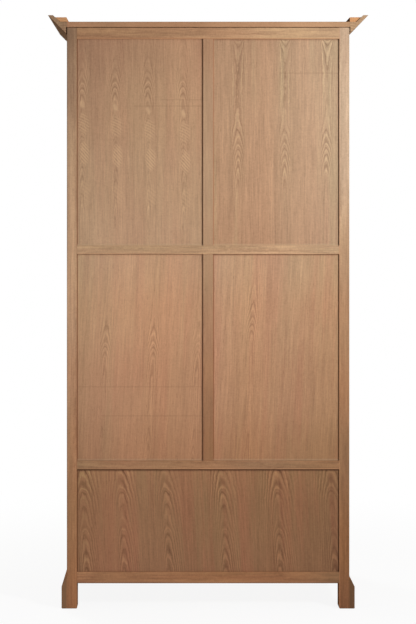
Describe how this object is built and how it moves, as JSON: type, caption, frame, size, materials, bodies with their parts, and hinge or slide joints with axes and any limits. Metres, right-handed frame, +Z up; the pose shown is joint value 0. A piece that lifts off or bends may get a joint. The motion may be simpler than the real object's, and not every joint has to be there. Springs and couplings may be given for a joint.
{
  "type": "cabinet",
  "caption": "Tall free-standing cabinet with hinged panel doors over long drawers, an upswept flange at each end of its top, and feet that flare outwards.",
  "frame": {"origin": "on the floor, under the middle of the whole cabinet", "axes": "+Z up, -Y towards the front with the doors, +X to the right as seen from the front"},
  "size_m": [1.08, 0.6, 2],
  "materials": {
    "stained_oak": "matt stain",
    "pale_wood": "bare",
    "aged_brass": "aged"
  },
  "bodies": {
    "cabinet": {"adjustable_shelves": "stained_oak", "back_bottom_rail": "stained_oak", "back_middle_muntin": "stained_oak", "back_middle_rail": "stained_oak", "back_panel_lower": "stained_oak", "back_panel_middle_left": "stained_oak", "back_panel_middle_right": "stained_oak", "back_panel_upper_left": "stained_oak", "back_panel_upper_right": "stained_oak", "back_top_rail": "stained_oak", "back_upper_muntin": "stained_oak", "back_waist_rail": "stained_oak", "door_stops": "pale_wood", "drawer_runners": "pale_wood", "flange_fillers": "pale_wood", "front_bottom_rail": "stained_oak", "front_divider_rail": "stained_oak", "front_top_rail": "stained_oak", "front_waist_rail": "stained_oak", "left_back_post": "stained_oak", "left_front_post": "stained_oak", "left_side_lower_panel": "stained_oak", "left_side_rails": "stained_oak", "left_side_skirt": "stained_oak", "left_side_tall_panels": "stained_oak", "left_top_flange": "stained_oak", "middle_shelf": "stained_oak", "post_hinge_halves": "aged_brass", "right_back_post": "stained_oak", "right_front_post": "stained_oak", "right_side_lower_panel": "stained_oak", "right_side_rails": "stained_oak", "right_side_skirt": "stained_oak", "right_side_tall_panels": "stained_oak", "right_top_flange": "stained_oak", "shelf_pins": "aged_brass", "top_board": "stained_oak", "waist_board": "stained_oak"},
    "left_door": {"left_door_stiles": "stained_oak", "left_door_rails": "stained_oak", "left_door_panel": "stained_oak", "left_door_hinge_leaves": "aged_brass", "left_door_lock_plate": "aged_brass"},
    "left_door_pull": {"left_door_drop_pull": "aged_brass"},
    "right_door": {"right_door_stiles": "stained_oak", "right_door_rails": "stained_oak", "right_door_panel": "stained_oak", "right_door_hinge_leaves": "aged_brass", "right_door_lock_plate": "aged_brass"},
    "right_door_pull": {"right_door_drop_pull": "aged_brass"},
    "upper_drawer": {"upper_drawer_front": "stained_oak", "upper_drawer_box": "pale_wood", "upper_drawer_plates": "aged_brass"},
    "upper_drawer_left_pull": {"upper_drawer_left_pull": "aged_brass"},
    "upper_drawer_right_pull": {"upper_drawer_right_pull": "aged_brass"},
    "lower_drawer": {"lower_drawer_front": "stained_oak", "lower_drawer_box": "pale_wood", "lower_drawer_plates": "aged_brass"},
    "lower_drawer_left_pull": {"lower_drawer_left_pull": "aged_brass"},
    "lower_drawer_right_pull": {"lower_drawer_right_pull": "aged_brass"}
  },
  "joints": [
    {"name": "left_door_hinge", "type": "hinge", "parent": "cabinet", "child": "left_door", "pos_m": [-0.44125, -0.2665, 1.209], "axis": [0, 0, -1], "range_deg": [0, 170]},
    {"name": "left_door_pull_swing", "type": "hinge", "parent": "left_door", "child": "left_door_pull", "pos_m": [-0.026, -0.27, 1.223], "axis": [-1, 0, 0], "range_deg": [-3, 180]},
    {"name": "right_door_hinge", "type": "hinge", "parent": "cabinet", "child": "right_door", "pos_m": [0.44125, -0.2665, 1.209], "axis": [0, 0, 1], "range_deg": [0, 170]},
    {"name": "right_door_pull_swing", "type": "hinge", "parent": "right_door", "child": "right_door_pull", "pos_m": [0.026, -0.27, 1.223], "axis": [-1, 0, 0], "range_deg": [-3, 180]},
    {"name": "upper_drawer_slide", "type": "slide", "parent": "cabinet", "child": "upper_drawer", "axis": [0, -1, 0], "range_m": [0, 0.4]},
    {"name": "upper_drawer_left_pull_swing", "type": "hinge", "parent": "upper_drawer", "child": "upper_drawer_left_pull", "pos_m": [-0.23868, -0.27, 0.397], "axis": [-1, 0, 0], "range_deg": [-7, 180]},
    {"name": "upper_drawer_right_pull_swing", "type": "hinge", "parent": "upper_drawer", "child": "upper_drawer_right_pull", "pos_m": [0.23868, -0.27, 0.397], "axis": [-1, 0, 0], "range_deg": [-7, 180]},
    {"name": "lower_drawer_slide", "type": "slide", "parent": "cabinet", "child": "lower_drawer", "axis": [0, -1, 0], "range_m": [0, 0.4]},
    {"name": "lower_drawer_left_pull_swing", "type": "hinge", "parent": "lower_drawer", "child": "lower_drawer_left_pull", "pos_m": [-0.23868, -0.27, 0.212], "axis": [-1, 0, 0], "range_deg": [-7, 180]},
    {"name": "lower_drawer_right_pull_swing", "type": "hinge", "parent": "lower_drawer", "child": "lower_drawer_right_pull", "pos_m": [0.23868, -0.27, 0.212], "axis": [-1, 0, 0], "range_deg": [-7, 180]}
  ]
}
